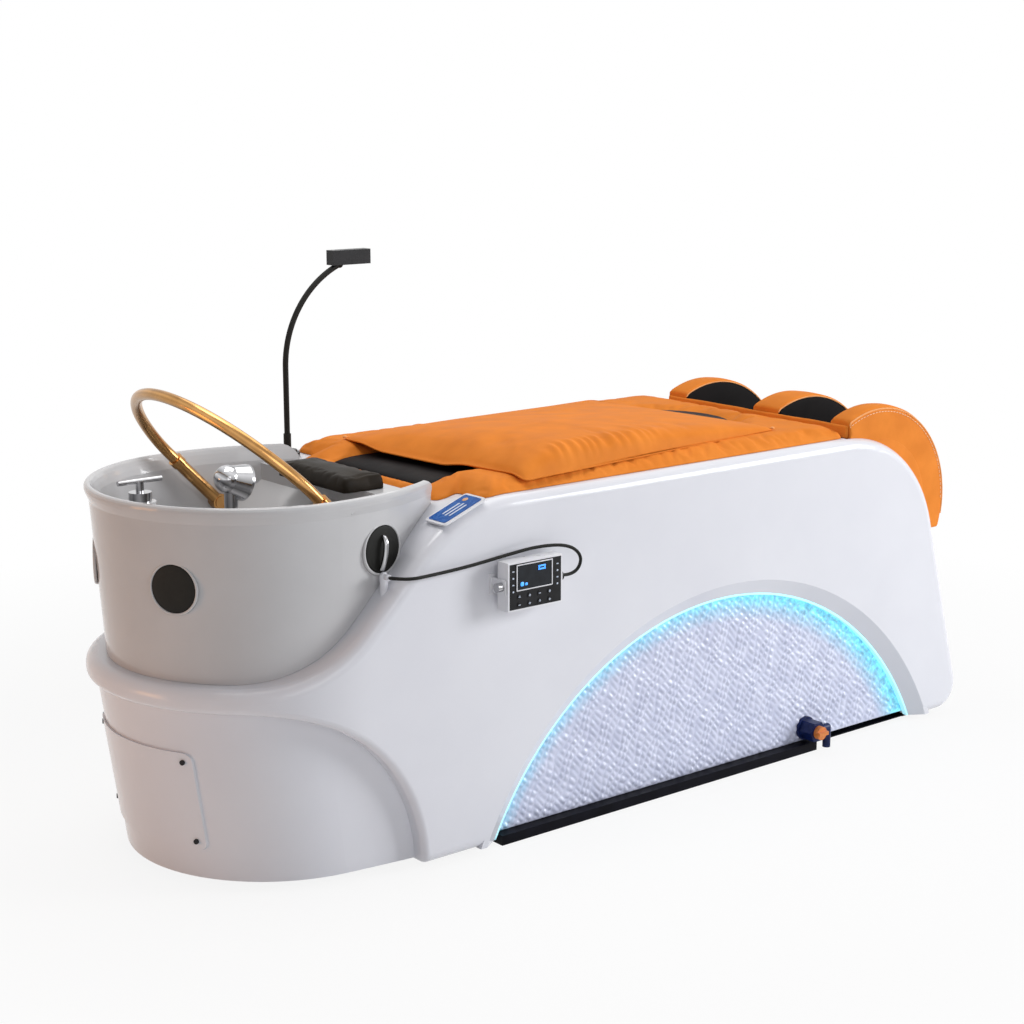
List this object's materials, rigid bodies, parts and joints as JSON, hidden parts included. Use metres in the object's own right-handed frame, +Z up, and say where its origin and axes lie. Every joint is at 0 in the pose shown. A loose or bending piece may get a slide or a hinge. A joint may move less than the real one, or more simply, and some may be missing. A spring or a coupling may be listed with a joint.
{
  "type": "head spa treatment bed",
  "caption": "Moulded white head-spa treatment bed with wash basin, water arch, massage mattress, tilting leg unit, lit side arches, controller and phone arm.",
  "frame": {"origin": "on the floor under the middle of the bed's length and width", "axes": "+X towards the foot end, +Y towards the far long side, +Z up"},
  "size_m": [2.0397, 0.7494, 1.1177],
  "materials": {
    "white_body": "gloss",
    "white_basin": "gloss",
    "black_steel": "satin",
    "panel": "textured satin",
    "light": "lit",
    "steel": "satin",
    "black_plastic": "satin",
    "chrome": "polished",
    "gold": "polished",
    "black_leather": "soft",
    "orange_leather": "soft",
    "aluminium": "satin",
    "white_plastic": "satin",
    "screen": "gloss",
    "black_rubber": "satin",
    "blue_film": "gloss",
    "blue_plastic": "satin",
    "orange_plastic": "satin"
  },
  "bodies": {
    "frame": {"base_shell": "white_body", "underframe": "black_steel", "front_light_panel": "panel", "rear_light_panel": "panel", "light_strips": "light", "service_cover": "white_body", "fixing_screws": "steel", "wash_basin": "white_basin", "port_covers": "black_plastic", "drain_fitting": "chrome", "mixer_body": "chrome", "shower_post": "chrome", "arch_pivots": "gold", "neck_pillow": "black_leather", "mattress": "orange_leather", "massage_cover": "black_leather", "bed_pad": "orange_leather", "massage_rails": "steel", "carriage_motor": "black_steel", "leg_bearing": "steel", "leg_motor": "black_steel", "control_bracket": "black_steel", "control_gland": "black_plastic", "control_cord": "black_rubber", "cord_outlet": "chrome", "keypad_frame": "white_plastic", "keypad_membrane": "blue_film", "arm_socket": "black_plastic", "valve_body": "blue_plastic", "water_tank": "white_plastic", "water_pump": "black_steel", "power_supply": "black_steel"},
    "water_arch": {"water_arch": "gold"},
    "mixer_handle": {"mixer_handle": "chrome"},
    "shower_head": {"shower_head": "chrome"},
    "massage_carriage": {"massage_carriage": "aluminium"},
    "lead_screw": {"lead_screw": "steel"},
    "front_rollers": {"front_rollers": "black_plastic"},
    "rear_rollers": {"rear_rollers": "black_plastic"},
    "leg_unit": {"leg_core": "black_plastic", "leg_walls": "orange_leather", "leg_liner": "black_leather", "leg_axle": "steel"},
    "controller": {"control_box": "white_plastic", "control_face": "black_plastic", "control_screen": "screen"},
    "thumbscrew": {"control_thumbscrew": "chrome"},
    "phone_arm": {"gooseneck": "black_rubber", "phone_clamp": "black_plastic"},
    "clamp_jaw": {"clamp_jaw": "black_plastic"},
    "valve_knob": {"valve_knob": "orange_plastic"},
    "key_1": {"control_key_1": "black_plastic"},
    "key_2": {"control_key_2": "black_plastic"},
    "key_3": {"control_key_3": "black_plastic"},
    "key_4": {"control_key_4": "black_plastic"},
    "key_5": {"control_key_5": "black_plastic"},
    "key_6": {"control_key_6": "black_plastic"},
    "key_7": {"control_key_7": "black_plastic"},
    "key_8": {"control_key_8": "black_plastic"}
  },
  "joints": [
    {"name": "water_arch_swing", "type": "hinge", "parent": "frame", "child": "water_arch", "pos_m": [-0.62, 0, 0.626], "axis": [0, 1, 0], "range_deg": [-20, 70]},
    {"name": "mixer_turn", "type": "hinge", "parent": "frame", "child": "mixer_handle", "pos_m": [-0.883, 0.1, 0.727], "axis": [0, 0, 1], "range_deg": [-90, 90]},
    {"name": "shower_swivel", "type": "hinge", "parent": "frame", "child": "shower_head", "pos_m": [-0.716, 0.05, 0.66], "axis": [0, 0, 1], "range_deg": [-60, 60]},
    {"name": "carriage_travel", "type": "slide", "parent": "frame", "child": "massage_carriage", "axis": [1, 0, 0], "range_m": [-0.11, 0.585]},
    {"name": "lead_screw_turn", "type": "hinge", "parent": "frame", "child": "lead_screw", "pos_m": [0, 0, 0.64], "axis": [1, 0, 0], "continuous": true},
    {"name": "front_rollers_spin", "type": "hinge", "parent": "massage_carriage", "child": "front_rollers", "pos_m": [-0.177, 0, 0.674], "axis": [0, 1, 0], "continuous": true},
    {"name": "rear_rollers_spin", "type": "hinge", "parent": "massage_carriage", "child": "rear_rollers", "pos_m": [-0.093, 0, 0.674], "axis": [0, 1, 0], "continuous": true},
    {"name": "leg_tilt", "type": "hinge", "parent": "frame", "child": "leg_unit", "pos_m": [0.725, 0, 0.527], "axis": [0, 1, 0], "range_deg": [0, 40]},
    {"name": "control_tilt", "type": "hinge", "parent": "frame", "child": "controller", "pos_m": [-0.326, -0.382, 0.538], "axis": [1, 0, 0], "range_deg": [-15, 15]},
    {"name": "thumbscrew_turn", "type": "hinge", "parent": "frame", "child": "thumbscrew", "pos_m": [-0.4, -0.382, 0.538], "axis": [1, 0, 0], "continuous": true},
    {"name": "phone_arm_swivel", "type": "hinge", "parent": "frame", "child": "phone_arm", "pos_m": [-0.428, 0.3, 0.7], "axis": [0, 0, 1], "range_deg": [-90, 90]},
    {"name": "clamp_jaw_slide", "type": "slide", "parent": "phone_arm", "child": "clamp_jaw", "axis": [1, 0, 0], "range_m": [0, 0.035], "stiffness_N_per_m": 60},
    {"name": "valve_knob_turn", "type": "hinge", "parent": "frame", "child": "valve_knob", "pos_m": [0.527, -0.362, 0.05], "axis": [0, 1, 0], "range_deg": [0, 90]},
    {"name": "key_1_press", "type": "slide", "parent": "controller", "child": "key_1", "axis": [0, 1, 0], "range_m": [0, 0.001], "stiffness_N_per_m": 400},
    {"name": "key_2_press", "type": "slide", "parent": "controller", "child": "key_2", "axis": [0, 1, 0], "range_m": [0, 0.001], "stiffness_N_per_m": 400},
    {"name": "key_3_press", "type": "slide", "parent": "controller", "child": "key_3", "axis": [0, 1, 0], "range_m": [0, 0.001], "stiffness_N_per_m": 400},
    {"name": "key_4_press", "type": "slide", "parent": "controller", "child": "key_4", "axis": [0, 1, 0], "range_m": [0, 0.001], "stiffness_N_per_m": 400},
    {"name": "key_5_press", "type": "slide", "parent": "controller", "child": "key_5", "axis": [0, 1, 0], "range_m": [0, 0.001], "stiffness_N_per_m": 400},
    {"name": "key_6_press", "type": "slide", "parent": "controller", "child": "key_6", "axis": [0, 1, 0], "range_m": [0, 0.001], "stiffness_N_per_m": 400},
    {"name": "key_7_press", "type": "slide", "parent": "controller", "child": "key_7", "axis": [0, 1, 0], "range_m": [0, 0.001], "stiffness_N_per_m": 400},
    {"name": "key_8_press", "type": "slide", "parent": "controller", "child": "key_8", "axis": [0, 1, 0], "range_m": [0, 0.001], "stiffness_N_per_m": 400}
  ],
  "couplings": [
    {"joint": "lead_screw_turn", "follows": "carriage_travel", "rad_per_m": 157.08}
  ]
}
